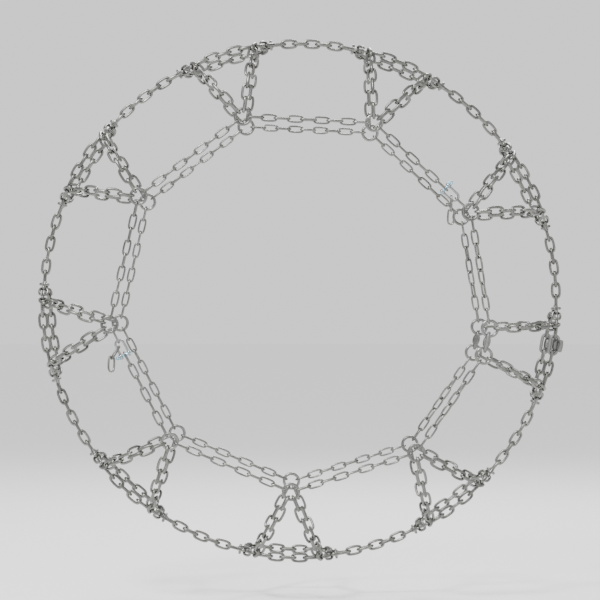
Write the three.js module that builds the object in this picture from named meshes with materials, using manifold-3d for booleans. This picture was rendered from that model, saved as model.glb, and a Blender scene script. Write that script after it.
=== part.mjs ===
// A ladder-and-net snow chain for a 24-inch tractor tyre, in the shape it takes on the tyre.
// Millimetres, +Z up. The axle runs along Y and the outer side of the wheel faces -Y.
// Angles are in degrees, clockwise from the top as seen from the outer side.
// Long lengths of chain are plain bars of the chain's own weight, with a real link at each hook.
import * as THREE from "three";
import { mergeVertices } from "three/addons/utils/BufferGeometryUtils.js";
import Module from "manifold-3d";

const wasm = await Module();
wasm.setup();

// The stations, where the net is tied to both side chains.
const STATIONS = 9;
const STATION_PITCH = 360 / STATIONS;
const FIRST_STATION = -17.3;
const CLOSING_STATION = 3; // the chain opens here to go round the tyre
const OUTER = -1;
const INNER = 1;

// Side chain: 6 mm wire. Net chain: 8 mm wire. A link's pitch is its inner length.
const SIDE = { wire: 6, pitch: 33.7, width: 22, bar: 9 };
const NET = { wire: 8, pitch: 32, width: 28, bar: 12.7 };
const RUN_LINKS = 9;
const CLOSING_RUN_LINKS = 8;
const GAP = 0.4;

// Rings that tie the net to the side chains.
const RING_WIRE = 8;
const RING_BORE = 16;
const RING_MEAN = RING_BORE + RING_WIRE / 2;
const RUN_LENGTH = RUN_LINKS * SIDE.pitch + 2 * RING_BORE;
const CLOSING_RUN_LENGTH = CLOSING_RUN_LINKS * SIDE.pitch + 2 * RING_BORE;
const RING_CIRCLE = RUN_LENGTH / 2 / Math.sin(rad(STATION_PITCH / 2));
const RING_SPLIT = STATION_PITCH - 2 * deg(Math.asin(CLOSING_RUN_LENGTH / 2 / RING_CIRCLE));
const SIDE_PLANE = 203;

// The net on the tread: corners at the tread's edges and cross links on its middle line.
const TREAD_RADIUS = 673;
const CORNER_RADIUS = 666;
const CORNER_Y = 116;
const CORNER_ANGLE = 6.9;
const CENTRE_LINKS = 7;
const CROSS_ANGLE = STATION_PITCH / 2 - deg((CENTRE_LINKS * NET.pitch - NET.wire) / 2 / TREAD_RADIUS);
const ACROSS_STEPS = 12;
const SHOULDER_BEND_AT = 0.6; // how far along a strand it turns over the tyre's shoulder
const SHOULDER_BULGE = 20;
const FIRST_LINK_END = NET.pitch - RING_WIRE / 2; // where a strand's hooked link stops

// Closing links: two swollen half plates on a 9 mm wire link.
const CLOSING = { wire: 9, bore: 12, swell: 20, swellEnd: 11, plate: 26 };
const RING_CHORD = 2 * RING_CIRCLE * Math.sin(rad(RING_SPLIT));
const CLOSING_INNER = RING_CHORD - 2 * RING_BORE;
const TOUCH_SHIFT = tangentAt(FIRST_STATION + CLOSING_STATION * STATION_PITCH)
  .multiplyScalar(3 * GAP)
  .toArray();

// Shackles, each with a screw pin and a hanging tail of two spare links.
const SHACKLE_RUNS = [
  { run: 1, name: "upper", leg: -1, tailAt: 30, hang: 0, swing: 0, lowerHang: 3 },
  { run: 6, name: "lower", leg: 1, tailAt: 22, hang: 33, swing: 28, lowerHang: 4 },
];
const SHACKLE = { wire: 6.5, legs: 11, ear: 8, earThick: 7, pin: 4 };
const PIN_TAIL = 17;
const PIN_COLLAR = { radius: 6.5, thick: 3 };
const PIN_EYE = { thick: 4, wide: 9, out: 9 };
const LINKS_BEFORE_SHACKLE = RUN_LINKS - 2;

const STEEL = {
  chain: new THREE.MeshStandardMaterial({ color: 0x8f8e8a, roughness: 0.42, metalness: 1 }),
  ring: new THREE.MeshStandardMaterial({ color: 0x98978f, roughness: 0.38, metalness: 1 }),
  closing: new THREE.MeshStandardMaterial({ color: 0x7d7c77, roughness: 0.6, metalness: 0.9 }),
  shackle: new THREE.MeshStandardMaterial({ color: 0xa9aaa8, roughness: 0.32, metalness: 1 }),
  pin: new THREE.MeshStandardMaterial({ color: 0xb4c8d4, roughness: 0.28, metalness: 1 }),
};

function rad(degrees) {
  return (degrees * Math.PI) / 180;
}

function deg(radians) {
  return (radians * 180) / Math.PI;
}

// A point at a clock angle and a radius from the axle.
function at(angle, radius, y) {
  return new THREE.Vector3(radius * Math.sin(rad(angle)), y, radius * Math.cos(rad(angle)));
}

function tangentAt(angle) {
  return new THREE.Vector3(Math.cos(rad(angle)), 0, -Math.sin(rad(angle)));
}

// Puts local X along a direction and local Y as near as it can across it.
function placed(geometry, centre, along, across) {
  const x = along.clone().normalize();
  const z = new THREE.Vector3().crossVectors(x, across).normalize();
  const y = new THREE.Vector3().crossVectors(z, x);
  const basis = new THREE.Matrix4().makeBasis(x, y, z).setPosition(centre);
  return geometry.clone().applyMatrix4(basis);
}

function solid(geometry) {
  const bare = geometry.clone();
  bare.deleteAttribute("normal");
  bare.deleteAttribute("uv");
  const merged = mergeVertices(bare, 1e-4);
  const vertProperties = merged.attributes.position.array;
  const triVerts = new Uint32Array(merged.index.array);
  return new wasm.Manifold(new wasm.Mesh({ numProp: 3, vertProperties, triVerts }));
}

function geometryOf(manifold) {
  const mesh = manifold.getMesh();
  const geometry = new THREE.BufferGeometry();
  geometry.setAttribute("position", new THREE.BufferAttribute(mesh.vertProperties, 3));
  geometry.setIndex(new THREE.BufferAttribute(mesh.triVerts, 1));
  geometry.computeVertexNormals();
  return geometry;
}

function joined(pieces) {
  return geometryOf(pieces.map(solid).reduce((whole, piece) => whole.add(piece)));
}

// A torus drawn out into a link: long axis X, width along Y. Its corners stay outside the true curve.
function link(wire, inner, width, sides = 4, steps = 8) {
  const bend = (width - wire) / 2;
  const straight = (inner + wire) / 2 - bend;
  const outside = bend / Math.cos(Math.PI / steps);
  const geometry = new THREE.TorusGeometry(outside, wire / 2, sides, steps);
  geometry.rotateZ(Math.PI / steps);
  const position = geometry.attributes.position;
  for (let i = 0; i < position.count; i++) {
    const x = position.getX(i);
    position.setX(i, x + Math.sign(x) * straight);
  }
  return geometry;
}

const SIDE_LINK = link(SIDE.wire, SIDE.pitch, SIDE.width);
const SHORT_LINK = link(SIDE.wire, SIDE.pitch + 2 * GAP, SIDE.width);
const NET_LINK = link(NET.wire, NET.pitch, NET.width);
const AXLE = new THREE.Vector3(0, 1, 0);

function square(size) {
  const h = size / 2;
  const corners = [[-h, -h], [h, -h], [h, h], [-h, h]];
  return new THREE.Shape(corners.map(([x, y]) => new THREE.Vector2(x, y)));
}

function barAlong(points, size, steps) {
  const path = new THREE.CatmullRomCurve3(points, false, "centripetal");
  return new THREE.ExtrudeGeometry(square(size), { steps, extrudePath: path, bevelEnabled: false });
}

// A bar that follows the tread between two clock angles.
function arcBar(from, to, radius, y, segments) {
  const outline = [];
  const h = NET.bar / 2;
  for (let i = 0; i <= segments; i++) {
    const p = at(from + ((to - from) * i) / segments, radius + h, 0);
    outline.push(new THREE.Vector2(p.x, p.z));
  }
  for (let i = segments; i >= 0; i--) {
    const p = at(from + ((to - from) * i) / segments, radius - h, 0);
    outline.push(new THREE.Vector2(p.x, p.z));
  }
  const shape = new THREE.Shape(outline);
  const geometry = new THREE.ExtrudeGeometry(shape, { depth: NET.bar, bevelEnabled: false });
  return geometry.rotateX(Math.PI / 2).translate(0, y + h, 0);
}

function stationAngle(station) {
  return FIRST_STATION + (station % STATIONS) * STATION_PITCH + 360 * Math.floor(station / STATIONS);
}

// The ring that serves one side of a station. The closing station has two, one on each side.
function ringAngle(station, facing) {
  const split = station % STATIONS === CLOSING_STATION ? RING_SPLIT : 0;
  return stationAngle(station) + facing * split;
}

function ringAngles() {
  const angles = [];
  for (let station = 0; station < STATIONS; station++) {
    angles.push(ringAngle(station, -1));
    if (station === CLOSING_STATION) angles.push(ringAngle(station, 1));
  }
  return angles;
}

function ringGeometry() {
  const steps = 12;
  const outside = RING_MEAN / Math.cos(Math.PI / steps);
  return new THREE.TorusGeometry(outside, RING_WIRE / 2, 4, steps).rotateX(Math.PI / 2);
}

// One length of side chain: its start, its direction and the direction away from the axle.
function runFrame(run, side) {
  const start = at(ringAngle(run, 1), RING_CIRCLE, side * SIDE_PLANE);
  const end = at(ringAngle(run + 1, -1), RING_CIRCLE, side * SIDE_PLANE);
  const along = end.clone().sub(start);
  const length = along.length();
  along.normalize();
  const outward = new THREE.Vector3(-along.z, 0, along.x);
  const point = (s, out = 0) => start.clone().addScaledVector(along, s).addScaledVector(outward, out);
  return { length, along, outward, point };
}

// Hooked links at both ends of a straight bar. The ends are where the real links' bores stop.
function sideChain(frame, from, to) {
  const half = SIDE.pitch / 2;
  const weld = SIDE.wire / 4;
  const barStart = from + SIDE.pitch + weld;
  const barEnd = to - SIDE.pitch - weld;
  const bar = new THREE.BoxGeometry(barEnd - barStart, SIDE.bar, SIDE.bar);
  return joined([
    placed(SIDE_LINK, frame.point(from + half - GAP), frame.along, AXLE),
    placed(bar, frame.point((barStart + barEnd) / 2), frame.along, AXLE),
    placed(SIDE_LINK, frame.point(to - half + GAP), frame.along, AXLE),
  ]);
}

// The plate outline of a closing link, wide in the middle and narrow at its ends.
function lensOutline() {
  const x = CLOSING.plate / 2;
  const mid = CLOSING.swell / 2;
  const end = CLOSING.swellEnd / 2;
  const corners = [[-x, -end], [-x / 3, -mid], [x / 3, -mid], [x, -end]];
  const back = corners.map(([a, b]) => [-a, -b]);
  return new THREE.Shape([...corners, ...back].map(([a, b]) => new THREE.Vector2(a, b)));
}

// Long axis X, width along Y, and the swelling along Z.
function closingLink() {
  const width = CLOSING.bore + 2 * CLOSING.wire;
  const body = link(CLOSING.wire, CLOSING_INNER + 2 * GAP, width, 6);
  const options = { depth: CLOSING.wire - GAP, bevelEnabled: false };
  const plate = new THREE.ExtrudeGeometry(lensOutline(), options).rotateX(-Math.PI / 2);
  const near = plate.clone().translate(0, CLOSING.bore / 2 + GAP, 0);
  const far = plate.clone().translate(0, -width / 2, 0);
  return joined([body, near, far]);
}

// The strand from a ring, over the tyre's shoulder, to a corner of the net.
function strandCurve(side, ringAt, cornerAt) {
  const ring = at(ringAt, RING_CIRCLE, side * SIDE_PLANE);
  const corner = at(cornerAt, CORNER_RADIUS, side * CORNER_Y);
  const level = new THREE.Vector3(corner.x, ring.y, corner.z);
  const start = ring.clone().lerp(level, RING_MEAN / ring.distanceTo(level));
  const bend = start.clone().lerp(level, SHOULDER_BEND_AT);
  bend.y += side * SHOULDER_BULGE;
  return new THREE.QuadraticBezierCurve3(start, bend, corner);
}

// A strand's real link, hooked through its ring.
function strandLink(side, ringAt, cornerAt) {
  const curve = strandCurve(side, ringAt, cornerAt);
  const way = curve.getTangentAt(0);
  const centre = curve.getPointAt(0).addScaledVector(way, (NET.pitch - RING_WIRE) / 2 - GAP);
  return placed(NET_LINK, centre, way, AXLE);
}

// The strand's bar, from where that link stops to the corner of the net.
function strandPoints(side, ringAt, cornerAt) {
  const curve = strandCurve(side, ringAt, cornerAt);
  const first = (FIRST_LINK_END + NET.wire / 4) / curve.getLength();
  return [0, 1, 2, 3].map((i) => curve.getPointAt(first + ((1 - first) * i) / 3));
}

// One bar right across the tyre: strand, crossing, cross link, crossing and strand.
function acrossBar(ringAt, cornerAt, crossAt) {
  const outer = strandPoints(OUTER, ringAt, cornerAt);
  const inner = strandPoints(INNER, ringAt, cornerAt).reverse();
  const middle = [-NET.pitch / 2, NET.pitch / 2].map((y) => at(crossAt, TREAD_RADIUS, y));
  return barAlong([...outer, ...middle, ...inner], NET.bar, ACROSS_STEPS);
}

// Where the closing link of the tread's edge sits: one loose link from the corner before it.
function treadClosingAngle() {
  const room = rad(2 * CORNER_ANGLE) * CORNER_RADIUS;
  const needed = 4 * NET.pitch + CLOSING_INNER;
  const distance = ((NET.pitch + CLOSING_INNER / 2) * room) / needed;
  return stationAngle(CLOSING_STATION) - CORNER_ANGLE + deg(distance / CORNER_RADIUS);
}

// Half of a station's edge segment. Facing is 1 after the station and -1 before it.
function edgeSegment(side, station, facing) {
  const y = side * CORNER_Y;
  const corner = stationAngle(station) + facing * CORNER_ANGLE;
  if (station % STATIONS !== CLOSING_STATION) {
    const meeting = stationAngle(station) + (facing * deg(GAP)) / CORNER_RADIUS / 2;
    return [arcBar(meeting, corner, CORNER_RADIUS, y, 1)];
  }
  const angle = treadClosingAngle();
  const reach = CLOSING_INNER / 2 - GAP + NET.pitch / 2;
  const centre = at(angle, CORNER_RADIUS, y).addScaledVector(tangentAt(angle), facing * reach);
  const hook = placed(NET_LINK, centre, tangentAt(angle), AXLE);
  if (facing < 0) return [hook];
  const hookEnd = angle + deg((reach + NET.pitch / 2 + NET.wire / 4) / CORNER_RADIUS);
  return [hook, arcBar(hookEnd, corner, CORNER_RADIUS, y, 1)];
}

// One panel of the net, from the middle of one station to the middle of the next.
function netPanel(panel) {
  const start = stationAngle(panel);
  const end = stationAngle(panel + 1);
  const ways = [
    { ring: ringAngle(panel, 1), corner: start + CORNER_ANGLE, cross: start + CROSS_ANGLE },
    { ring: ringAngle(panel + 1, -1), corner: end - CORNER_ANGLE, cross: end - CROSS_ANGLE },
  ];
  const pieces = [arcBar(ways[0].cross, ways[1].cross, TREAD_RADIUS, 0, 3)];
  for (const way of ways) {
    pieces.push(acrossBar(way.ring, way.corner, way.cross));
    pieces.push(strandLink(OUTER, way.ring, way.corner));
    pieces.push(strandLink(INNER, way.ring, way.corner));
  }
  for (const side of [OUTER, INNER]) {
    pieces.push(...edgeSegment(side, panel, 1));
    pieces.push(...edgeSegment(side, panel + 1, -1));
  }
  return joined(pieces);
}

// Shackle axes: X from the pin to the bow, Y along the pin away from the axle.
function shacklePath(pitch) {
  const { wire, legs, pin } = SHACKLE;
  const bendCentre = pin + pitch + wire / 2 - legs;
  const points = [];
  for (const x of [-1, bendCentre / 2]) points.push(new THREE.Vector3(x, legs, 0));
  for (let turn = 90; turn >= -90; turn -= 30) {
    const x = bendCentre + legs * Math.cos(rad(turn));
    points.push(new THREE.Vector3(x, legs * Math.sin(rad(turn)), 0));
  }
  for (const x of [bendCentre / 2, -1]) points.push(new THREE.Vector3(x, -legs, 0));
  return new THREE.CatmullRomCurve3(points);
}

function shackleBow() {
  const { wire, legs, ear, earThick, pin } = SHACKLE;
  const section = new THREE.Shape().absarc(0, 0, wire / 2, 0, 2 * Math.PI);
  const path = shacklePath(SIDE.pitch);
  const options = { steps: 12, curveSegments: 6, extrudePath: path, bevelEnabled: false };
  const bow = solid(new THREE.ExtrudeGeometry(section, options));
  const disc = new THREE.CylinderGeometry(ear, ear, earThick, 12);
  const hole = new THREE.CylinderGeometry(pin + GAP, pin + GAP, 6 * earThick, 12);
  const upper = solid(disc.clone().translate(0, legs, 0));
  const lower = solid(disc.clone().translate(0, -legs, 0));
  return geometryOf(bow.add(upper).add(lower).subtract(solid(hole)));
}

function shacklePin() {
  const { legs, earThick, pin } = SHACKLE;
  const shoulder = legs + earThick / 2 + GAP;
  const shank = new THREE.CylinderGeometry(pin, pin, shoulder + 1 + PIN_TAIL, 12);
  shank.translate(0, (shoulder + 1 - PIN_TAIL) / 2, 0);
  const collar = new THREE.CylinderGeometry(PIN_COLLAR.radius, PIN_COLLAR.radius, PIN_COLLAR.thick, 12);
  collar.translate(0, shoulder + PIN_COLLAR.thick / 2, 0);
  const eye = new THREE.BoxGeometry(PIN_EYE.wide, PIN_EYE.out, PIN_EYE.thick);
  eye.translate(0, shoulder + PIN_COLLAR.thick - 1 + PIN_EYE.out / 2, 0);
  return joined([shank, collar, eye]);
}

// A direction hanging down, leaning by some degrees towards -X.
function hangWay(lean) {
  return new THREE.Vector3(-Math.sin(rad(lean)), 0, -Math.cos(rad(lean)));
}

// The spare links: the first hangs edge-on from a leg of the shackle, the second lies flat in it.
// A tail that hangs over a pin swings out in front of it, so that the pin can be drawn.
function tailLinks(frame, shackle) {
  const leg = frame.point(shackleStart() + shackle.tailAt, shackle.leg * SHACKLE.legs);
  const way = hangWay(shackle.hang);
  const level = new THREE.Vector3().crossVectors(way, AXLE);
  const cosine = Math.abs(frame.along.dot(level));
  const slope = Math.sqrt(1 - cosine * cosine) / cosine;
  const lift = SHACKLE.wire / 2 / cosine + (SIDE.wire / 2) * slope + GAP;
  const first = way.clone().multiplyScalar(SIDE.pitch / 2 - lift);
  const pivot = way.clone().multiplyScalar(SIDE.pitch - lift + SIDE.wire / 2);
  const lowerWay = hangWay(shackle.lowerHang);
  const second = pivot.addScaledVector(lowerWay, (SIDE.pitch - SIDE.wire) / 2 - GAP);
  const lowerAcross = new THREE.Vector3().crossVectors(lowerWay, AXLE);
  const swung = (direction) => direction.clone().applyAxisAngle(frame.along, rad(shackle.swing));
  return [
    placed(SIDE_LINK, swung(first).add(leg), swung(way), swung(AXLE)),
    placed(SIDE_LINK, swung(second).add(leg), swung(lowerWay), swung(lowerAcross)),
  ];
}

// How far the shackle's pin is from the centre of the ring before it.
function shackleStart() {
  return RING_BORE + LINKS_BEFORE_SHACKLE * SIDE.pitch - SHACKLE.pin;
}

const chain = new THREE.Group();

function add(name, geometry, material) {
  const mesh = new THREE.Mesh(geometry, material);
  mesh.name = name;
  chain.add(mesh);
}

function addShackle(shackle) {
  const frame = runFrame(shackle.run, OUTER);
  const pinAt = frame.point(shackleStart());
  const bow = placed(shackleBow(), pinAt, frame.along, frame.outward);
  const pin = placed(shacklePin(), pinAt, frame.along, frame.outward);
  add(`shackle_bow_${shackle.name}`, bow, STEEL.shackle);
  add(`shackle_pin_${shackle.name}`, pin, STEEL.pin);
  const stub = frame.point(frame.length - RING_BORE - SIDE.pitch / 2);
  add(`stub_link_${shackle.name}`, placed(SHORT_LINK, stub, frame.along, AXLE), STEEL.chain);
  const [first, second] = tailLinks(frame, shackle);
  add(`tail_link_${shackle.name}_1`, first, STEEL.chain);
  add(`tail_link_${shackle.name}_2`, second, STEEL.chain);
}

function addSideChain(run, side) {
  const frame = runFrame(run, side);
  const name = `${side === OUTER ? "outer" : "inner"}_side_chain_${run + 1}`;
  const cutByShackle = side === OUTER && SHACKLE_RUNS.some((shackle) => shackle.run === run);
  const shackled = RING_BORE + LINKS_BEFORE_SHACKLE * SIDE.pitch;
  const end = cutByShackle ? shackled : frame.length - RING_BORE;
  add(name, sideChain(frame, RING_BORE, end), STEEL.chain);
}

function sideClosingLink(side) {
  const angle = stationAngle(CLOSING_STATION);
  const radius = RING_CIRCLE * Math.cos(rad(RING_SPLIT));
  return placed(closingLink(), at(angle, radius, side * SIDE_PLANE), tangentAt(angle), AXLE);
}

function tieRing(angle, side) {
  const centre = at(angle, RING_CIRCLE, side * SIDE_PLANE);
  return ringGeometry().rotateY(rad(angle)).translate(centre.x, centre.y, centre.z);
}

// The inner closing link shares its ring's solid, touching it where it pulls on it.
function innerClosingRing(angle) {
  return joined([tieRing(angle, INNER), sideClosingLink(INNER).translate(...TOUCH_SHIFT)]);
}

function addRings() {
  ringAngles().forEach((angle, i) => {
    const number = String(i + 1).padStart(2, "0");
    add(`outer_ring_${number}`, tieRing(angle, OUTER), STEEL.ring);
    if (i === CLOSING_STATION) {
      add("inner_ring_04_and_closing_link", innerClosingRing(angle), STEEL.ring);
    } else {
      add(`inner_ring_${number}`, tieRing(angle, INNER), STEEL.ring);
    }
  });
}

function addClosingLinks() {
  add("closing_link_outer", sideClosingLink(OUTER), STEEL.closing);
  const angle = treadClosingAngle();
  const radial = at(angle, 1, 0);
  for (const [name, side] of [["closing_link_tread_outer", OUTER], ["closing_link_tread_inner", INNER]]) {
    const centre = at(angle, CORNER_RADIUS, side * CORNER_Y);
    add(name, placed(closingLink(), centre, tangentAt(angle), radial), STEEL.closing);
  }
}

addRings();
addClosingLinks();
for (const shackle of SHACKLE_RUNS) addShackle(shackle);
for (let i = 0; i < STATIONS; i++) {
  addSideChain(i, OUTER);
  addSideChain(i, INNER);
  add(`net_panel_${i + 1}`, netPanel(i), STEEL.chain);
}

export default chain;
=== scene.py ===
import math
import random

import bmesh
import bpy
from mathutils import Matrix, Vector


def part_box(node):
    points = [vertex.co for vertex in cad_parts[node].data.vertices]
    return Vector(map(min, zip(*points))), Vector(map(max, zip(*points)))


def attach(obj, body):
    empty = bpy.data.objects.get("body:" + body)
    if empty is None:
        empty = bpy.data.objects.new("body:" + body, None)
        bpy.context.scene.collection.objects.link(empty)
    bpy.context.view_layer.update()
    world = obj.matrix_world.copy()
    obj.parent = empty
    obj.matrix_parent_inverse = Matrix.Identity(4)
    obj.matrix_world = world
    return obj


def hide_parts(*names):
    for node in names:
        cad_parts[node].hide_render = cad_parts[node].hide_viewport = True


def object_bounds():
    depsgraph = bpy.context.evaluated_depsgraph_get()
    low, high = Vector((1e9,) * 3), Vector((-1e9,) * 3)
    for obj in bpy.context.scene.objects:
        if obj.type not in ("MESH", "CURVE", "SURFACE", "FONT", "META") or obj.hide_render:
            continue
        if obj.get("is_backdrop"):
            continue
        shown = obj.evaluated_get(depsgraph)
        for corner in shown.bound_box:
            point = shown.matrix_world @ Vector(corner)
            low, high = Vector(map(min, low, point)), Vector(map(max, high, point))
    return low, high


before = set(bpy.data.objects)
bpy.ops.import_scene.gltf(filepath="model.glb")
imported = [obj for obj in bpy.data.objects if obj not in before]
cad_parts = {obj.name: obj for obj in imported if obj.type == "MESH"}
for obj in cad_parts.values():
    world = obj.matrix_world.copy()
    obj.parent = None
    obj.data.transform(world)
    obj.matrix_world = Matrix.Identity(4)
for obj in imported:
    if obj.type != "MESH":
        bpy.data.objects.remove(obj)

# %% [markdown]
# # A snow chain for a tractor wheel, link by link
# The chain is shown in the shape it takes on the tyre: two side chains on the sidewalls, ten rings
# on each of them, and a net of heavier chain over the tread. The fixed frame holds the rings, the
# shackles and the closing links at their real places, and plain bars where the lengths of chain run.
# This lesson keeps those places and makes every link of every length, with bmesh operators.

MM = 0.001
cad_lo, cad_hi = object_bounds()
print("frame box", [round(b - a, 3) for a, b in zip(cad_lo, cad_hi)])

# %% [markdown]
# The camera comes first, so that each piece can be looked at as soon as it exists. It stands seven
# metres out on the axle's line, level with the hub, with a long lens: near enough for the front of
# the chain to look a little larger than the back.

# %% Camera
CAMERA_AWAY = 7.0
CAMERA_LENS = 159.8

camera_data = bpy.data.cameras.new("camera")
camera_data.lens = CAMERA_LENS
camera_data.clip_end = 100
camera = bpy.data.objects.new("camera", camera_data)
camera.location = (0, -CAMERA_AWAY, 0)
camera.rotation_euler = (math.pi / 2, 0, 0)
bpy.context.scene.collection.objects.link(camera)
bpy.context.scene.camera = camera
print("camera", camera.location[:], "lens", CAMERA_LENS)

# %% [markdown]
# Round steel wire shows its shape by the lights it mirrors, so the lamps are large soft panels. One
# above and to the left makes the long bright lines on top of the links, a weaker one on the right
# keeps the far side from going black, and one behind edges the links against the backdrop.

# %% Lights
def add_panel(name, place, size, power):
    """A square soft lamp that faces the hub."""
    data = bpy.data.lights.new(name, "AREA")
    data.size = size
    data.energy = power
    lamp = bpy.data.objects.new(name, data)
    lamp.location = place
    lamp.rotation_euler = (-Vector(place)).to_track_quat("-Z", "Y").to_euler()
    bpy.context.scene.collection.objects.link(lamp)


add_panel("key", (-2.2, -3.2, 3.6), 1.2, 330)
add_panel("fill", (3.4, -3.6, 0.8), 2.0, 40)
add_panel("rim", (0.6, 3.4, 3.2), 1.2, 160)
world = bpy.data.worlds.new("studio")
bpy.context.scene.world = world
world.use_nodes = True
backdrop = world.node_tree.nodes["Background"]
backdrop.inputs["Color"].default_value = (0.96, 0.96, 0.96, 1)
backdrop.inputs["Strength"].default_value = 1.15

# %% [markdown]
# The floor is one plain pale disc, a hand's width below the lowest link, so that the chain seems to
# float as it does on its tyre. It is far wider than any view, and its edge never shows.

# %% Floor
FLOOR_DROP = 0.1
FLOOR_RADIUS = 40

floor_mesh = bpy.data.meshes.new("floor")
bm = bmesh.new()
bmesh.ops.create_circle(bm, cap_ends=True, segments=96, radius=FLOOR_RADIUS)
bmesh.ops.translate(bm, vec=(0, 0, cad_lo[2] - FLOOR_DROP), verts=bm.verts)
bm.to_mesh(floor_mesh)
bm.free()
floor = bpy.data.objects.new("floor", floor_mesh)
bpy.context.scene.collection.objects.link(floor)
floor_paint = bpy.data.materials.new("floor_paint")
floor_paint.use_nodes = True
floor_shader = floor_paint.node_tree.nodes["Principled BSDF"]
floor_shader.inputs["Base Color"].default_value = (0.94, 0.94, 0.94, 1)
floor_shader.inputs["Roughness"].default_value = 0.9
floor_mesh.materials.append(floor_paint)
floor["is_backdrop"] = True
print("floor at", round(cad_lo[2] - FLOOR_DROP, 3))

# %% [markdown]
# ## Where things are
# The rings give most of it. Their boxes in the frame say how far out the side chains lie, how large
# the circle of rings is and at what clock angle each ring sits. The net has a few sizes of its own:
# where its corners are at the tread's edges, and where the cross links are on its middle line.

# %% Places read from the rings
OUTER, INNER = -1, 1
SIDES = {OUTER: "outer", INNER: "inner"}
CLOSING_STATION = 3
STATIONS = 9
STATION_PITCH = 360 / STATIONS
RING_NUMBERS = range(1, STATIONS + 2)   # the closing station has two rings


def box_centre(node):
    """The middle of a frame node's box."""
    lo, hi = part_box(node)
    return (Vector(lo) + Vector(hi)) / 2


def ring_node(side, number):
    """The frame node of a ring. The fourth inner ring is one solid with its closing link."""
    if side == INNER and number == CLOSING_STATION + 1:
        return "inner_ring_04_and_closing_link"
    return f"{SIDES[side]}_ring_{number:02d}"


outer_rings = [box_centre(ring_node(OUTER, n)) for n in RING_NUMBERS]
ring_centres = {OUTER: outer_rings, INNER: [Vector((p.x, -p.y, p.z)) for p in outer_rings]}
RING_CIRCLE = math.hypot(outer_rings[0].x, outer_rings[0].z)
FIRST_STATION = math.degrees(math.atan2(outer_rings[0].x, outer_rings[0].z))
print("ring circle", round(RING_CIRCLE, 4), "first station", round(FIRST_STATION, 2))

# %% Sizes of the wire and the net
SIDE = {"wire": 6 * MM, "pitch": 33.7 * MM, "width": 22 * MM}
NET = {"wire": 8 * MM, "pitch": 32 * MM, "width": 28 * MM}
RING_WIRE = 8 * MM
RING_BORE = 16 * MM
RING_MEAN = RING_BORE + RING_WIRE / 2
TREAD_RADIUS = 673 * MM
CORNER_RADIUS = 666 * MM
CORNER_Y = 116 * MM
CORNER_ANGLE = 6.9
CENTRE_LINKS = 7
STRAND_LINKS = 6
CROSSING_LINKS = 3
EDGE_LINKS = 5
EDGE_OWN = 3   # how many of the five belong to the panel after the station
CENTRE_LENGTH = CENTRE_LINKS * NET["pitch"] - NET["wire"]
CROSS_ANGLE = STATION_PITCH / 2 - math.degrees(CENTRE_LENGTH / 2 / TREAD_RADIUS)
SHOULDER_BEND_AT = 0.6
SHOULDER_BULGE = 20 * MM
AXLE = Vector((0, 1, 0))


def clock(angle, radius, y):
    """A point at a clock angle, in degrees from the top, and a radius from the axle."""
    turn = math.radians(angle)
    return Vector((radius * math.sin(turn), y, radius * math.cos(turn)))


def tangent(angle):
    """The way along the tread at a clock angle."""
    turn = math.radians(angle)
    return Vector((math.cos(turn), 0, -math.sin(turn)))


def station_angle(station):
    """The clock angle of a station, counted on past a full turn."""
    return FIRST_STATION + station * STATION_PITCH


def ring_of(side, station, facing):
    """The centre of the ring that serves one side of a station. The closing station has two."""
    station %= STATIONS
    number = station + (station > CLOSING_STATION) + (station == CLOSING_STATION and facing > 0)
    return ring_centres[side][number]


print("cross links stand", round(CROSS_ANGLE, 2), "degrees from each station")

# %% [markdown]
# ## One link
# A chain link is a rod bent round and welded, so a torus pulled apart in the middle has its shape.
# A small circle is spun into a torus of ten steps, and each half is moved away from the other. There
# are nearly seven hundred links, so each one keeps to sixty faces, and a subdivision surface rounds
# them off. That surface draws a coarse circle in by an eighth, so the circle starts that much larger.
# Two numbers are stored at every point for the steel: how much its spot rubs on the next link, and
# a tone of its own for the link, because no two links come out of the hardening furnace quite alike.

# %% The link as a small mesh
EVEN_TONE = 0.5


def drawn_in(steps):
    """How much smaller one subdivision makes a circle of a few steps."""
    corners = 0.75 + 0.25 * math.cos(2 * math.pi / steps)
    return (corners + math.cos(math.pi / steps)) / 2


def make_link(name, wire, pitch, width, sides=6, steps=10):
    """A link with its long axis on X and its width on Y, and its rub layer filled in."""
    bend = (width - wire) / 2
    straight = (pitch + wire) / 2 - bend
    bm = bmesh.new()
    rod = bmesh.ops.create_circle(bm, segments=sides, radius=wire / 2 / drawn_in(sides))["verts"]
    bmesh.ops.rotate(bm, cent=(0, 0, 0), matrix=Matrix.Rotation(math.pi / 2, 3, "X"), verts=rod)
    bmesh.ops.translate(bm, vec=(bend / drawn_in(steps), 0, 0), verts=rod)
    bmesh.ops.spin(bm, geom=bm.verts[:] + bm.edges[:], cent=(0, 0, 0), axis=(0, 0, 1),
                   angle=2 * math.pi, steps=steps, use_merge=True)
    bmesh.ops.remove_doubles(bm, verts=bm.verts, dist=wire / 100)
    bmesh.ops.recalc_face_normals(bm, faces=bm.faces)
    for way in (1, -1):
        half = [v for v in bm.verts if v.co.x * way > 0]
        bmesh.ops.translate(bm, vec=(way * straight, 0, 0), verts=half)
    rub = bm.verts.layers.float.new("rub")
    tone = bm.verts.layers.float.new("tone")
    for v in bm.verts:
        inside = 1 - (abs(v.co.x) - pitch / 2) / wire
        centred = 1 - abs(v.co.y) / bend
        v[rub] = max(0.0, min(1.0, inside)) * max(0.0, centred)
        v[tone] = EVEN_TONE
    mesh = bpy.data.meshes.new(name)
    bm.to_mesh(mesh)
    bm.free()
    return mesh


net_link = make_link("net_link", **NET)
side_link = make_link("side_link", **SIDE)
print("faces in a link", len(net_link.polygons))


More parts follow.
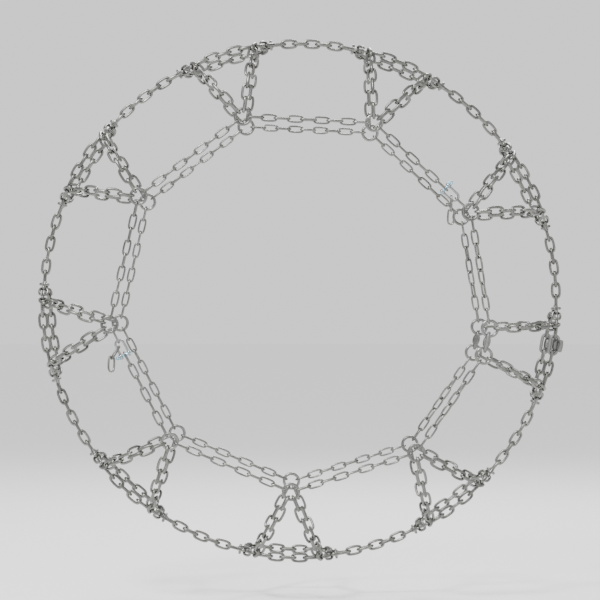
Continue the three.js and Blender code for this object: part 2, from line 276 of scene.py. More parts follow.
# %% Setting links along a route
def basis(centre, along, across):
    """A turn and a place: local X along, local Y as near as it can across."""
    x = along.normalized()
    z = x.cross(across).normalized()
    y = z.cross(x)
    turn = Matrix((x, y, z)).transposed().to_4x4()
    return Matrix.Translation(centre) @ turn


def set_link(bm, link, place, tone):
    """Adds a copy of a link mesh at a place, and gives it its tone."""
    before = len(bm.verts)
    bm.from_mesh(link)
    bm.verts.ensure_lookup_table()
    new = bm.verts[before:]
    bmesh.ops.transform(bm, matrix=place, verts=new)
    layer = bm.verts.layers.float["tone"]
    for v in new:
        v[layer] = tone


def start_links():
    """An empty bmesh that already has the links' two layers."""
    bm = bmesh.new()
    bm.verts.layers.float.new("rub")
    bm.verts.layers.float.new("tone")
    return bm


LEAN = math.radians(5)   # how far a link rolls out of true


def lay_links(bm, link, contacts, upright, draw, first_upright=True, roll=0.0):
    """Sets a link between each pair of contacts, every other one upright. Roll turns the run as it goes."""
    last = len(contacts) - 1
    for i in range(last):
        along = contacts[i + 1] - contacts[i]
        normal = upright(i)
        across = normal if (i % 2 == 0) == first_upright else along.cross(normal)
        twist = draw.uniform(-LEAN, LEAN) + roll * i / last
        across = Matrix.Rotation(twist, 3, along.normalized()) @ across
        middle = (contacts[i] + contacts[i + 1]) / 2
        set_link(bm, link, basis(middle, along, across), draw.random())


print("link tools ready")


# %% [markdown]
# A finished run of links becomes one object at the origin, with its place in its mesh. It rides on
# the same body as the bar it stands for, and hides that bar.

# %% Finishing a run of links
def finish_piece(bm, name, nodes, body, material_slot, subdivide=True):
    """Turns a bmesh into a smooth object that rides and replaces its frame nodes."""
    mesh = bpy.data.meshes.new(name)
    bm.to_mesh(mesh)
    bm.free()
    for polygon in mesh.polygons:
        polygon.use_smooth = True
    piece = bpy.data.objects.new(name, mesh)
    bpy.context.scene.collection.objects.link(piece)
    if subdivide:
        rounding = piece.modifiers.new("rounding", "SUBSURF")
        rounding.levels = 1
        rounding.render_levels = 1
    piece.data.materials.append(MATERIALS[material_slot])
    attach(piece, body)
    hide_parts(*nodes)


# %% [markdown]
# ## The steel
# Hardened chain is satin grey: oil-blacked in its hollows, paler where it has been handled, and
# polished where link pulls on link. One node group makes that surface for every kind of steel here.
# It takes a dark and a light colour, two roughnesses and the rub and tone that each link carries, and
# gives back a colour, a roughness and a height. Scale haze, pits and fine drawn grain are noise on
# object coordinates. The Principled shader stays in each material.

# %% The steel surface group
# How much each of these lightens and smooths the steel where it is strongest.
LIGHTEN = {"haze": 0.5, "tone": 0.3, "pits": 0.3, "rub": 0.45}
GRAIN_HEIGHT = 0.35


def group_socket(tree, name, kind, way, value=None):
    """Adds a named socket to a node group."""
    socket = tree.interface.new_socket(name=name, in_out=way, socket_type=kind)
    if value is not None:
        socket.default_value = value


def add_node(tree, kind, **inputs):
    """Adds a node and sets its unlinked inputs by name."""
    node = tree.nodes.new(kind)
    for name, value in inputs.items():
        node.inputs[name.replace("_", " ")].default_value = value
    return node


def add_math(tree, operation, a, b, clamp=False):
    """A math node on two values or sockets. Returns its output."""
    node = tree.nodes.new("ShaderNodeMath")
    node.operation = operation
    node.use_clamp = clamp
    for i, value in enumerate((a, b)):
        if isinstance(value, (int, float)):
            node.inputs[i].default_value = value
        else:
            tree.links.new(value, node.inputs[i])
    return node.outputs[0]


def add_noise(tree, vector, scale, detail, rough=0.55):
    """A noise texture on a vector. Returns its value."""
    node = add_node(tree, "ShaderNodeTexNoise", Scale=scale, Detail=detail, Roughness=rough)
    tree.links.new(vector, node.inputs["Vector"])
    return node.outputs["Fac"]


def make_steel_group():
    """Builds the shared steel surface once."""
    tree = bpy.data.node_groups.new("steel_surface", "ShaderNodeTree")
    group_socket(tree, "Dark", "NodeSocketColor", "INPUT", (0.1, 0.1, 0.1, 1))
    group_socket(tree, "Light", "NodeSocketColor", "INPUT", (0.5, 0.5, 0.5, 1))
    group_socket(tree, "Polished", "NodeSocketFloat", "INPUT", 0.25)
    group_socket(tree, "Dull", "NodeSocketFloat", "INPUT", 0.5)
    group_socket(tree, "Rub", "NodeSocketFloat", "INPUT", 0.0)
    group_socket(tree, "Tone", "NodeSocketFloat", "INPUT", 0.5)
    group_socket(tree, "Color", "NodeSocketColor", "OUTPUT")
    group_socket(tree, "Roughness", "NodeSocketFloat", "OUTPUT")
    group_socket(tree, "Height", "NodeSocketFloat", "OUTPUT")
    given = tree.nodes.new("NodeGroupInput")
    result = tree.nodes.new("NodeGroupOutput")
    place = tree.nodes.new("ShaderNodeTexCoord").outputs["Object"]
    haze = add_noise(tree, place, 70, 4)
    pits = add_noise(tree, place, 420, 3, 0.6)
    grain = add_noise(tree, place, 1500, 2)
    ramp = tree.nodes.new("ShaderNodeValToRGB")
    ramp.color_ramp.elements[0].position = 0.3
    ramp.color_ramp.elements[1].position = 0.62
    tree.links.new(pits, ramp.inputs["Fac"])
    clean = ramp.outputs["Color"]
    tone = add_math(tree, "MULTIPLY", given.outputs["Tone"], LIGHTEN["tone"])
    mixed = add_math(tree, "MULTIPLY", haze, LIGHTEN["haze"])
    mixed = add_math(tree, "ADD", mixed, tone)
    shade = add_math(tree, "MULTIPLY", clean, LIGHTEN["pits"])
    mixed = add_math(tree, "ADD", mixed, shade)
    rubbed = add_math(tree, "MULTIPLY", given.outputs["Rub"], LIGHTEN["rub"])
    mixed = add_math(tree, "ADD", mixed, rubbed, clamp=True)
    colour = tree.nodes.new("ShaderNodeMix")
    colour.data_type = "RGBA"
    tree.links.new(mixed, colour.inputs[0])
    tree.links.new(given.outputs["Dark"], colour.inputs[6])
    tree.links.new(given.outputs["Light"], colour.inputs[7])
    tree.links.new(colour.outputs[2], result.inputs["Color"])
    dull = add_math(tree, "SUBTRACT", 1.0, mixed)
    spread = add_math(tree, "SUBTRACT", given.outputs["Dull"], given.outputs["Polished"])
    rough = add_math(tree, "MULTIPLY", dull, spread)
    rough = add_math(tree, "ADD", rough, given.outputs["Polished"])
    tree.links.new(rough, result.inputs["Roughness"])
    fine = add_math(tree, "MULTIPLY", grain, GRAIN_HEIGHT)
    height = add_math(tree, "ADD", pits, fine)
    tree.links.new(height, result.inputs["Height"])
    return tree


steel_surface = make_steel_group()
print("steel surface sockets", [s.name for s in steel_surface.interface.items_tree])


# %% The steels, each with its own values
BUMP_DEPTH = 0.12 * MM

# For each steel its dark and its light colour, and its roughness where polished and where dull.
STEELS = {
    "net_chain_steel": ((0.018, 0.018, 0.017), (0.26, 0.26, 0.245), 0.22, 0.44),
    "side_chain_steel": ((0.022, 0.022, 0.021), (0.27, 0.27, 0.255), 0.20, 0.40),
    "ring_steel": ((0.024, 0.024, 0.023), (0.26, 0.26, 0.25), 0.22, 0.40),
    "closing_link_steel": ((0.09, 0.09, 0.087), (0.28, 0.28, 0.27), 0.44, 0.64),
    "shackle_zinc": ((0.09, 0.093, 0.093), (0.38, 0.39, 0.39), 0.20, 0.36),
    "pin_zinc": ((0.05, 0.15, 0.23), (0.28, 0.54, 0.72), 0.18, 0.34),
}


def make_steel(name, dark, light, polished, dull):
    """A metal that takes its surface from the shared group."""
    material = bpy.data.materials.new(name)
    material.use_nodes = True
    tree = material.node_tree
    shader = tree.nodes["Principled BSDF"]
    shader.inputs["Metallic"].default_value = 1.0
    surface = tree.nodes.new("ShaderNodeGroup")
    surface.node_tree = steel_surface
    surface.inputs["Dark"].default_value = (*dark, 1)
    surface.inputs["Light"].default_value = (*light, 1)
    surface.inputs["Polished"].default_value = polished
    surface.inputs["Dull"].default_value = dull
    for layer in ("rub", "tone"):
        reader = tree.nodes.new("ShaderNodeAttribute")
        reader.attribute_name = layer
        tree.links.new(reader.outputs["Fac"], surface.inputs[layer.capitalize()])
    bump = add_node(tree, "ShaderNodeBump", Strength=0.6, Distance=BUMP_DEPTH)
    tree.links.new(surface.outputs["Height"], bump.inputs["Height"])
    tree.links.new(surface.outputs["Color"], shader.inputs["Base Color"])
    tree.links.new(surface.outputs["Roughness"], shader.inputs["Roughness"])
    tree.links.new(bump.outputs["Normal"], shader.inputs["Normal"])
    return material


MATERIALS = {name: make_steel(name, *values) for name, values in STEELS.items()}
print("steels", list(MATERIALS))


# %% [markdown]
# ## The tie rings
# A ring is a round bar bent into a circle and butt-welded, and the weld leaves a low collar. The bar
# is a circle spun right round. The collar is made by drawing the sections nearest the weld outwards
# a little, which needs no extra faces. It lies on the axle's side of the ring, clear of every link.

# %% Making a ring
RING_STEPS = 40
RING_SIDES = 12
WELD_RISE = 1.07
WELD_STRAY = 5   # degrees that a weld may lie off the axle's side
WELD_REACH = 0.08 * RING_MEAN
RING_RUB = 0.2


def set_layers(bm, verts, rub, tone):
    """Gives some vertices one rub and one tone."""
    for v in verts:
        v[bm.verts.layers.float["rub"]] = rub
        v[bm.verts.layers.float["tone"]] = tone


def ring_bmesh(centre, weld_at, tone):
    """A ring in the plane of the wheel, with its weld at a clock angle."""
    bm = start_links()
    section = bmesh.ops.create_circle(bm, segments=RING_SIDES, radius=RING_WIRE / 2 / drawn_in(RING_SIDES))
    bmesh.ops.translate(bm, vec=(RING_MEAN, 0, 0), verts=section["verts"])
    bmesh.ops.rotate(bm, cent=(0, 0, 0), matrix=Matrix.Rotation(math.pi / 2, 3, "X"), verts=bm.verts)
    bmesh.ops.spin(bm, geom=bm.verts[:] + bm.edges[:], cent=(0, 0, 0), axis=(0, 0, 1),
                   angle=2 * math.pi, steps=RING_STEPS, use_merge=True)
    bmesh.ops.remove_doubles(bm, verts=bm.verts, dist=RING_WIRE / 200)
    bmesh.ops.recalc_face_normals(bm, faces=bm.faces)
    near_weld = [v for v in bm.verts if v.co.x > 0 and abs(v.co.y) < WELD_REACH]
    bmesh.ops.scale(bm, vec=(WELD_RISE,) * 3, space=Matrix.Translation((-RING_MEAN, 0, 0)), verts=near_weld)
    flat = basis(centre, clock(weld_at, 1, 0), tangent(weld_at))
    bmesh.ops.transform(bm, matrix=flat, verts=bm.verts)
    set_layers(bm, bm.verts, RING_RUB, tone)
    return bm


# %% [markdown]
# ## The closing links
# Each of the four closing links is a heavier link whose legs swell into lens-shaped plates, where
# its two halves lap over each other. A plate is a flattened ball cut along its middle, so that the
# lap shows as a fine line, and two rivet heads hold it at one end. The rivet heads take the lightest
# colour of the steel as a painted highlight. The half of each plate above its lap line is painted
# lighter and the half below it darker, as painted light and shade. The same mesh does for all four
# links. Its plates aren't all in their places yet: half_plate says why.

# %% The closing link's mesh
CLOSING = {"wire": 9 * MM, "bore": 12 * MM, "swell": 20 * MM, "length": 34 * MM, "lap": 0.5 * MM}
CLOSING_GAP = ring_of(OUTER, CLOSING_STATION, 1) - ring_of(OUTER, CLOSING_STATION, -1)
CLOSING_INNER = CLOSING_GAP.length - 2 * RING_BORE
PLATE_HALF = 5 * MM
RIVET_RADIUS = 2 * MM
RIVET_AT = 11.5 * MM
RIVETS_APART = 5.4 * MM
RIVET_RISE = 0.7 * MM
PLATE_RUB = 0.1
# Painted light and shade on the plates: the half above the lap line is lighter and the half below it
# darker.
LAP_PAINTED_SHADE = 0.2   # how far the tones of a plate's two halves lie from the even tone


def half_plate(bm, leg, way):
    """One half of a lapped plate: above the lap line with way 1, and below it with way -1."""
    # Known fault: cutting the ball clears the tags, so each call also moves what was made before it.
    # The bar ends up in its place, but three half plates and one leg's rivets don't.
    ball = bmesh.ops.create_uvsphere(bm, u_segments=16, v_segments=10, radius=1)["verts"]
    bmesh.ops.rotate(bm, cent=(0, 0, 0), matrix=Matrix.Rotation(math.pi / 2, 3, "Y"), verts=ball)
    bmesh.ops.scale(bm, vec=(CLOSING["length"] / 2, PLATE_HALF, CLOSING["swell"] / 2), verts=ball)
    faces = list({face for v in ball for face in v.link_faces})
    edges = list({edge for v in ball for edge in v.link_edges})
    cut = bmesh.ops.bisect_plane(bm, geom=ball + edges + faces, plane_co=(0, 0, way * CLOSING["lap"] / 2),
                                 plane_no=(0, 0, way), clear_inner=True)
    rim = [e for e in cut["geom_cut"] if isinstance(e, bmesh.types.BMEdge)]
    bmesh.ops.edgeloop_fill(bm, edges=rim)
    piece = [v for v in bm.verts if v.is_valid and not v.tag]
    bmesh.ops.translate(bm, vec=(0, leg, 0), verts=piece)
    return piece


def make_closing_link():
    """A closing link with its long axis on X, its width on Y and its plates' swelling on Z."""
    bm = bmesh.new()
    width = CLOSING["bore"] + 2 * CLOSING["wire"]
    body = make_link("closing_body", CLOSING["wire"], CLOSING_INNER, width, sides=10, steps=18)
    bm.from_mesh(body)
    leg = (width - CLOSING["wire"]) / 2
    for side in (-1, 1):
        for way in (-1, 1):
            for v in bm.verts:
                v.tag = True
            plate = half_plate(bm, side * leg, way)
            # Painted light and shade: the half above the lap line gets a lighter tone and the half below a
            # darker one.
            set_layers(bm, plate, PLATE_RUB, EVEN_TONE + LAP_PAINTED_SHADE * way)
        for z in (-RIVETS_APART / 2, RIVETS_APART / 2):
            off_centre = (2 * RIVET_AT / CLOSING["length"]) ** 2 + (2 * z / CLOSING["swell"]) ** 2
            surface = PLATE_HALF * math.sqrt(1 - off_centre)
            centre = leg + surface - RIVET_RADIUS + RIVET_RISE
            head = bmesh.ops.create_icosphere(bm, subdivisions=2, radius=RIVET_RADIUS)["verts"]
            bmesh.ops.translate(bm, vec=(RIVET_AT, side * centre, z), verts=head)
            # The rivet heads get a rub and a tone of 1: their lightest colour is a painted highlight, and
            # the rub also makes them polished.
            set_layers(bm, head, 1.0, 1.0)
    bmesh.ops.recalc_face_normals(bm, faces=bm.faces)
    mesh = bpy.data.meshes.new("closing_link")
    bm.to_mesh(mesh)
    bm.free()
    return mesh


closing_link = make_closing_link()
print("closing link inner length", round(CLOSING_INNER, 4), "faces", len(closing_link.polygons))


# %% Twenty rings, one of them with the inner closing link
def side_closing_place(side):
    """Where the closing link of a side chain sits, between the closing station's two rings."""
    before, after = ring_of(side, CLOSING_STATION, -1), ring_of(side, CLOSING_STATION, 1)
    return basis((before + after) / 2, before - after, AXLE)


draw = random.Random(31)
for side in (OUTER, INNER):
    for number in RING_NUMBERS:
        node = ring_node(side, number)
        centre = ring_centres[side][number - 1]
        clock_angle = math.degrees(math.atan2(centre.x, centre.z))
        bm = ring_bmesh(centre, clock_angle + 180 + draw.uniform(-WELD_STRAY, WELD_STRAY), draw.random())
        if "closing" in node:
            set_link(bm, closing_link, side_closing_place(side), EVEN_TONE)
        finish_piece(bm, node, [node], "root" if "closing" in node else node, "ring_steel")
print("rings made, the first at", [round(c, 3) for c in ring_centres[OUTER][0]])

# %% Three more closing links
CLOSING_NEEDED = (1 + EDGE_OWN) * NET["pitch"] + CLOSING_INNER
CLOSING_ROOM = math.radians(2 * CORNER_ANGLE) * CORNER_RADIUS
CLOSING_DISTANCE = (NET["pitch"] + CLOSING_INNER / 2) * CLOSING_ROOM / CLOSING_NEEDED
CLOSING_TURN = math.degrees(CLOSING_DISTANCE / CORNER_RADIUS)
TREAD_CLOSING_ANGLE = station_angle(CLOSING_STATION) - CORNER_ANGLE + CLOSING_TURN

bm = start_links()
set_link(bm, closing_link, side_closing_place(OUTER), EVEN_TONE)
finish_piece(bm, "closing_link_outer", ["closing_link_outer"], "root", "closing_link_steel")
for side in (OUTER, INNER):
    name = f"closing_link_tread_{SIDES[side]}"
    middle = clock(TREAD_CLOSING_ANGLE, CORNER_RADIUS, side * CORNER_Y)
    place = basis(middle, tangent(TREAD_CLOSING_ANGLE), clock(TREAD_CLOSING_ANGLE, 1, 0))
    bm = start_links()
    set_link(bm, closing_link, place, EVEN_TONE)
    finish_piece(bm, name, [name], "root", "closing_link_steel")
print("tread closing links at", round(TREAD_CLOSING_ANGLE, 2), "degrees")


# %% [markdown]
# ## The side chains
# A side chain runs straight from ring to ring. Its first and last links stand edge-on, because they
# hook through rings that lie flat. Nine links alternate and end edge-on again. The two runs beside
# the closing station have only eight, so the whole run is twisted by a quarter turn on its way. Two
# outer runs have only seven, because a shackle and a stub link take the place of the last two.

# %% Eighteen runs of side chain
QUARTER_TURN = math.pi / 2
RUN_LINKS = 9
SHORT_RUNS = (CLOSING_STATION - 1, CLOSING_STATION)
SHORT_RUN_LINKS = 8
SHACKLE_RUNS = {1: "upper", 6: "lower"}
LINKS_BEFORE_SHACKLE = 7


def run_line(side, run):
    """A run's start, and its direction."""
    start = ring_of(side, run, 1)
    end = ring_of(side, run + 1, -1)
    return start, (end - start).normalized()


def away_from_axle(along):
    """The direction square to a run that points away from the axle."""
    return Vector((-along.z, 0, along.x))


draw = random.Random(7)
link_count = 0
for side in (OUTER, INNER):
    for run in range(STATIONS):
        start, along = run_line(side, run)
        links = SHORT_RUN_LINKS if run in SHORT_RUNS else RUN_LINKS
        twist = QUARTER_TURN * links / (links - 1) if run in SHORT_RUNS else 0.0
        if side == OUTER and run in SHACKLE_RUNS:
            links = LINKS_BEFORE_SHACKLE
        contacts = [start + along * (RING_BORE + k * SIDE["pitch"]) for k in range(links + 1)]
        bm = start_links()
        lay_links(bm, side_link, contacts, lambda i: AXLE, draw, roll=twist)
        name = f"{SIDES[side]}_side_chain_{run + 1}"
        finish_piece(bm, name, [name], "root", "side_chain_steel")
        link_count += links
print("side chain links", link_count)

# %% [markdown]
# ## The net over the tread
# From each ring a strand of six links climbs the tyre's shoulder on either side of its station. A
# smooth curve with one bend point gives its route. At the tread's edge a corner link turns it, three
# more cross the tread on a slant, and a cross link on the middle line joins it to its mirror image.
# Lengths of chain along the tread tie the corners and the cross links together into the net.


# %% The route of a strand and of a crossing
CURVE_STEPS = 96


def curve_points(a, b, c, distances):
    """Points at given distances along the curve from a to c that bends towards b, and its length."""
    shares = [step / CURVE_STEPS for step in range(CURVE_STEPS + 1)]
    fine = [a.lerp(b, t).lerp(b.lerp(c, t), t) for t in shares]
    steps = [(q - p).length for p, q in zip(fine, fine[1:])]
    points = []
    for distance in distances:
        left, i = distance, 0
        while i < len(steps) - 1 and left > steps[i]:
            left -= steps[i]
            i += 1
        points.append(fine[i].lerp(fine[i + 1], left / steps[i]))
    return points, sum(steps)


def radial_at(point):
    """The direction away from the axle at a point."""
    return Vector((point.x, 0, point.z)).normalized()


def half_route(side, station, facing):
    """Contacts from a ring to the cross link's end, and the upright direction at each link."""
    ring = ring_of(side, station, facing)
    corner_angle = station_angle(station) + facing * CORNER_ANGLE
    cross_angle = station_angle(station) + facing * CROSS_ANGLE
    corner = clock(corner_angle, CORNER_RADIUS, side * CORNER_Y)
    cross_end = clock(cross_angle, TREAD_RADIUS, side * NET["pitch"] / 2)
    level = Vector((corner.x, ring.y, corner.z))
    climb = (level - ring).normalized()
    wire = ring + climb * RING_MEAN
    bend = wire.lerp(level, SHOULDER_BEND_AT) + AXLE * side * SHOULDER_BULGE
    length = curve_points(wire, bend, corner, [])[1]
    pitch = (length - NET["pitch"] / 2 + RING_WIRE / 2) / STRAND_LINKS
    distances = [k * pitch - RING_WIRE / 2 for k in range(1, STRAND_LINKS + 1)]
    contacts = [wire - climb * RING_WIRE / 2] + curve_points(wire, bend, corner, distances)[0]
    after_corner = corner + (cross_end - corner).normalized() * NET["pitch"] / 2
    contacts += [after_corner.lerp(cross_end, k / CROSSING_LINKS) for k in range(CROSSING_LINKS + 1)]
    lateral = climb.cross(AXLE)
    normals = []
    for i, (a, b) in enumerate(zip(contacts, contacts[1:])):
        if i < STRAND_LINKS:
            normals.append(lateral.cross(b - a).normalized())
        else:
            normals.append(radial_at((a + b) / 2))
    return contacts, normals


def across_route(station, facing):
    """The whole way across the tyre, from the outer ring to the inner one."""
    outer, outer_normals = half_route(OUTER, station, facing)
    inner, inner_normals = half_route(INNER, station, facing)
    cross = clock(station_angle(station) + facing * CROSS_ANGLE, 1, 0)
    return outer + inner[::-1], outer_normals + [cross] + inner_normals[::-1]


test_route = across_route(0, 1)[0]
first_length = (test_route[1] - test_route[0]).length
print("contacts across the tyre", len(test_route), "first link", round(first_length, 4))

# %% [markdown]
# One panel of the net goes from the middle of a station to the middle of the next. At a station's
# edge five links tie the two corners together: the panel after it makes three of them, and the panel
# before it makes two. At the closing station the closing link takes the place of the second link, and
# the panel before it makes only the first one.

# %% Lengths of chain along the tread
CROSS_INSET = 2 * MM
EDGE_INSET = 4 * MM


def tread_contacts(start, end, radius, y, links):
    """Evenly spaced contacts along the tread between two clock angles."""
    return [clock(start + (end - start) * k / links, radius, y) for k in range(links + 1)]


def lay_along_tread(bm, contacts, draw):
    """Lays net links along the tread. The first is flat, and upright ones stand away from the axle."""
    radials = [radial_at((a + b) / 2) for a, b in zip(contacts, contacts[1:])]
    lay_links(bm, net_link, contacts, lambda i: radials[i], draw, first_upright=False)


def lay_edge(bm, side, station, facing, draw):
    """The links of a station's edge that belong to the panel on one side of the station."""
    inset = math.degrees(EDGE_INSET / CORNER_RADIUS)
    middle = station_angle(station)
    start, end = middle - CORNER_ANGLE + inset, middle + CORNER_ANGLE - inset
    y = side * CORNER_Y
    if station % STATIONS != CLOSING_STATION:
        contacts = tread_contacts(start, end, CORNER_RADIUS, y, EDGE_LINKS)
        mine = contacts[EDGE_LINKS - EDGE_OWN:] if facing > 0 else contacts[:EDGE_LINKS - EDGE_OWN + 1]
        lay_along_tread(bm, mine, draw)
        return
    reach = math.degrees(CLOSING_INNER / 2 / CORNER_RADIUS)
    pitch = math.degrees(NET["pitch"] / CORNER_RADIUS)
    if facing < 0:
        near = TREAD_CLOSING_ANGLE - reach
        lay_along_tread(bm, tread_contacts(near - pitch, near, CORNER_RADIUS, y, 1), draw)
    else:
        near = TREAD_CLOSING_ANGLE + reach
        lay_along_tread(bm, tread_contacts(near, end, CORNER_RADIUS, y, EDGE_OWN), draw)


# %% Nine panels
draw = random.Random(53)
for panel in range(STATIONS):
    bm = start_links()
    for station, facing in ((panel, 1), (panel + 1, -1)):
        contacts, normals = across_route(station, facing)
        lay_links(bm, net_link, contacts, lambda i: normals[i], draw)
        for side in (OUTER, INNER):
            lay_edge(bm, side, station, facing, draw)
    inset = math.degrees(CROSS_INSET / TREAD_RADIUS)
    first_cross = station_angle(panel) + CROSS_ANGLE + inset
    last_cross = station_angle(panel + 1) - CROSS_ANGLE - inset
    lay_along_tread(bm, tread_contacts(first_cross, last_cross, TREAD_RADIUS, 0, CENTRE_LINKS), draw)
    print("panel", panel + 1, "faces", len(bm.faces))
    name = f"net_panel_{panel + 1}"
    finish_piece(bm, name, [name], "root", "net_chain_steel")

# %% [markdown]
# ## The shackles
# Two D shackles close the outer side chain. A shackle's bow is a bar bent into a U with a forged eye
# at each end. The bar is a circle drawn along one leg, spun half round for the bow and drawn back
# along the other leg. The eyes are washers with rounded edges, spun round the pin's own line.

# %% Sizes and places of a shackle
SHACKLE = {"wire": 6.5 * MM, "legs": 11 * MM, "ear": 8 * MM, "ear_thick": 7 * MM, "pin": 4 * MM}
PIN_GAP = 0.4 * MM
PIN_TAIL = 17 * MM
BOW_RUB, BOW_TONE = 0.3, 0.6
BOW_CENTRE = SHACKLE["pin"] + SIDE["pitch"] + SHACKLE["wire"] / 2 - SHACKLE["legs"]
BAR_START = SHACKLE["ear"] * 0.6   # inside the eye, past its hole
BAR_SIDES = 12
BOW_STEPS = 14
WASHER_SIDES = 12
WASHER_STEPS = 24
PIN_PLACE = RING_BORE + LINKS_BEFORE_SHACKLE * SIDE["pitch"] - SHACKLE["pin"]


def shackle_frame(run):
    """X from the pin to the bow, Y along the pin away from the axle."""
    start, along = run_line(OUTER, run)
    return basis(start + along * PIN_PLACE, along, away_from_axle(along))


def add_washer(bm, centre_y, inner, outer, thick, axis="Y"):
    """A round-edged washer about the pin's line, or about Z for the pin's own eye."""
    before = set(bm.verts)
    section = bmesh.ops.create_circle(bm, segments=WASHER_SIDES, radius=1)["verts"]
    bmesh.ops.scale(bm, vec=((outer - inner) / 2, thick / 2, 1), verts=section)
    bmesh.ops.translate(bm, vec=((outer + inner) / 2, 0, 0), verts=section)
    edges = list({e for v in section for e in v.link_edges})
    bmesh.ops.spin(bm, geom=section + edges, cent=(0, 0, 0), axis=(0, 1, 0),
                   angle=2 * math.pi, steps=WASHER_STEPS, use_merge=True)
    new = [v for v in bm.verts if v not in before]
    bmesh.ops.remove_doubles(bm, verts=new, dist=thick / 200)
    new = [v for v in bm.verts if v not in before]
    if axis == "Z":
        bmesh.ops.rotate(bm, cent=(0, 0, 0), matrix=Matrix.Rotation(math.pi / 2, 3, "X"), verts=new)
    bmesh.ops.translate(bm, vec=(0, centre_y, 0), verts=new)


# %% The two bows
def shackle_bow():
    """The bow's bar and its two eyes."""
    bm = start_links()
    legs = SHACKLE["legs"]
    radius = SHACKLE["wire"] / 2 / drawn_in(BAR_SIDES)
    section = bmesh.ops.create_circle(bm, segments=BAR_SIDES, radius=radius)["verts"]
    edges = bm.edges[:]
    bmesh.ops.rotate(bm, cent=(0, 0, 0), matrix=Matrix.Rotation(math.pi / 2, 3, "Y"), verts=section)
    bmesh.ops.translate(bm, vec=(BAR_START, legs, 0), verts=section)
    drawn = bmesh.ops.extrude_edge_only(bm, edges=edges)["geom"]
    verts = [g for g in drawn if isinstance(g, bmesh.types.BMVert)]
    edges = [g for g in drawn if isinstance(g, bmesh.types.BMEdge)]
    bmesh.ops.translate(bm, vec=(BOW_CENTRE - BAR_START, 0, 0), verts=verts)
    spun = bmesh.ops.spin(bm, geom=verts + edges, cent=(BOW_CENTRE, 0, 0), axis=(0, 0, 1),
                          angle=-math.pi, steps=BOW_STEPS)["geom_last"]
    edges = [g for g in spun if isinstance(g, bmesh.types.BMEdge)]
    drawn = bmesh.ops.extrude_edge_only(bm, edges=edges)["geom"]
    verts = [g for g in drawn if isinstance(g, bmesh.types.BMVert)]
    bmesh.ops.translate(bm, vec=(BAR_START - BOW_CENTRE, 0, 0), verts=verts)
    bmesh.ops.remove_doubles(bm, verts=bm.verts, dist=SHACKLE["wire"] / 200)
    for side in (-1, 1):
        add_washer(bm, side * legs, SHACKLE["pin"] + PIN_GAP, SHACKLE["ear"], SHACKLE["ear_thick"])
    bmesh.ops.recalc_face_normals(bm, faces=bm.faces)
    set_layers(bm, bm.verts, BOW_RUB, BOW_TONE)
    return bm


for run, name in SHACKLE_RUNS.items():
    bm = shackle_bow()
    bmesh.ops.transform(bm, matrix=shackle_frame(run), verts=bm.verts)
    finish_piece(bm, f"shackle_bow_{name}", [f"shackle_bow_{name}"], "root", "shackle_zinc")
print("bow centre", round(BOW_CENTRE, 4))

# %% [markdown]
# A shackle's pin screws through both eyes. It has a plain shank, a collar that stops it against the
# outer eye and a flat ring to turn it by. Its blue-white zinc plate is the only colour on the chain.

# %% The two pins
COLLAR = {"radius": 6.5 * MM, "thick": 3 * MM}
PIN_EYE = {"inner": 1.9 * MM, "outer": 4.6 * MM, "thick": 4 * MM}
EYE_STANDS = PIN_EYE["outer"] * 0.8   # less than its radius, so that the eye runs into the collar
SHOULDER = SHACKLE["legs"] + SHACKLE["ear_thick"] / 2 + PIN_GAP
SHANK_BEVEL = 0.6 * MM
COLLAR_BEVEL = 0.7 * MM
ROD_SIDES = 24
PIN_RUB, PIN_TONE = 0.4, 0.7


def add_rod(bm, start_y, end_y, radius, edge):
    """A round rod along Y with bevelled ends."""
    before = set(bm.verts)
    bmesh.ops.create_cone(bm, cap_ends=True, segments=ROD_SIDES, radius1=radius, radius2=radius,
                          depth=end_y - start_y)
    new = [v for v in bm.verts if v not in before]
    bmesh.ops.rotate(bm, cent=(0, 0, 0), matrix=Matrix.Rotation(math.pi / 2, 3, "X"), verts=new)
    bmesh.ops.translate(bm, vec=(0, (start_y + end_y) / 2, 0), verts=new)
    edges = {e for v in new for e in v.link_edges}
    caps = [e for e in edges if abs(e.verts[0].co.y - e.verts[1].co.y) < edge]
    bmesh.ops.bevel(bm, geom=caps, offset=edge, segments=2, affect="EDGES", profile=0.5, material=-1)


for run, name in SHACKLE_RUNS.items():
    bm = start_links()
    add_rod(bm, -PIN_TAIL, SHOULDER + COLLAR["thick"] / 2, SHACKLE["pin"], SHANK_BEVEL)
    add_rod(bm, SHOULDER, SHOULDER + COLLAR["thick"], COLLAR["radius"], COLLAR_BEVEL)
    add_washer(bm, SHOULDER + COLLAR["thick"] + EYE_STANDS, PIN_EYE["inner"], PIN_EYE["outer"],
               PIN_EYE["thick"], axis="Z")
    bmesh.ops.recalc_face_normals(bm, faces=bm.faces)
    set_layers(bm, bm.verts, PIN_RUB, PIN_TONE)
    bmesh.ops.transform(bm, matrix=shackle_frame(run), verts=bm.verts)
    pin = f"shackle_pin_{name}"
    finish_piece(bm, pin, [pin], pin, "pin_zinc", subdivide=False)
print("pins made")

# %% [markdown]
# ## Stub links and spare links
# One edge-on link joins each shackle to its ring. Two spare links hang from a leg of each shackle:
# the first edge-on, the second flat in it. The spare links of the lower shackle lie on the tyre's
# bulge, so the whole tail swings out in front of the pin. They can be turned on the leg, so each
# spare link is a piece of its own.

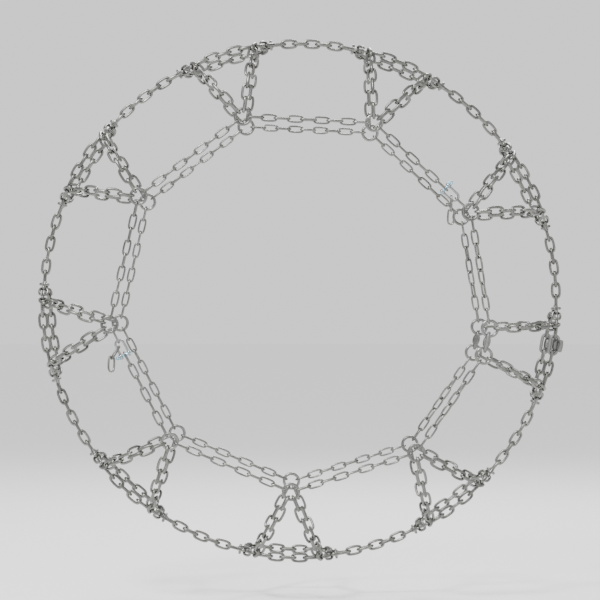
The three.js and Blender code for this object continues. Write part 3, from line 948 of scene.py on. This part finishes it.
# %% Stub links
draw = random.Random(5)
for run, name in SHACKLE_RUNS.items():
    along = run_line(OUTER, run)[1]
    hook = ring_of(OUTER, run + 1, -1) - along * RING_BORE
    ends = [hook - along * SIDE["pitch"], hook]
    bm = start_links()
    lay_links(bm, side_link, ends, lambda i: AXLE, draw)
    finish_piece(bm, f"stub_link_{name}", [f"stub_link_{name}"], "root", "side_chain_steel")
print("stub links made")

# %% Spare links
TAILS = {
    "upper": {"leg": -1, "tail_at": 30 * MM, "hang": 0, "swing": 0, "lower_hang": 3},
    "lower": {"leg": 1, "tail_at": 22 * MM, "hang": 33, "swing": 28, "lower_hang": 4},
}


def hang_way(lean):
    """A direction hanging down, leaning by some degrees towards -X."""
    return clock(180 + lean, 1, 0)


def tail_places(run, leg, tail_at, hang, swing, lower_hang):
    """Where the two spare links hang, each as a turn and a place."""
    start, along = run_line(OUTER, run)
    grip = start + along * (PIN_PLACE + tail_at) + away_from_axle(along) * leg * SHACKLE["legs"]
    way = hang_way(hang)
    cosine = abs(along.dot(way.cross(AXLE)))
    slope = math.sqrt(1 - cosine ** 2) / cosine
    lift = SHACKLE["wire"] / 2 / cosine + SIDE["wire"] / 2 * slope + PIN_GAP
    first = way * (SIDE["pitch"] / 2 - lift)
    pivot = way * (SIDE["pitch"] - lift + SIDE["wire"] / 2)
    lower_way = hang_way(lower_hang)
    second = pivot + lower_way * ((SIDE["pitch"] - SIDE["wire"]) / 2 - PIN_GAP)
    swung = Matrix.Translation(grip) @ Matrix.Rotation(math.radians(swing), 4, along)
    return [swung @ basis(first, way, AXLE), swung @ basis(second, lower_way, lower_way.cross(AXLE))]


for run, name in SHACKLE_RUNS.items():
    for number, place in enumerate(tail_places(run, **TAILS[name]), start=1):
        bm = start_links()
        set_link(bm, side_link, place, draw.random())
        link_name = f"tail_link_{name}_{number}"
        finish_piece(bm, link_name, [link_name], link_name, "side_chain_steel")
print("spare links made")

# %% [markdown]
# ## Check and finish
# The whole chain is measured against the frame that it came from.

# %% Measure and finish
look_lo, look_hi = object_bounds()
drift_lo = [round(b - a, 4) for a, b in zip(cad_lo, look_lo)]
drift_hi = [round(b - a, 4) for a, b in zip(cad_hi, look_hi)]
print("drift", drift_lo, drift_hi)
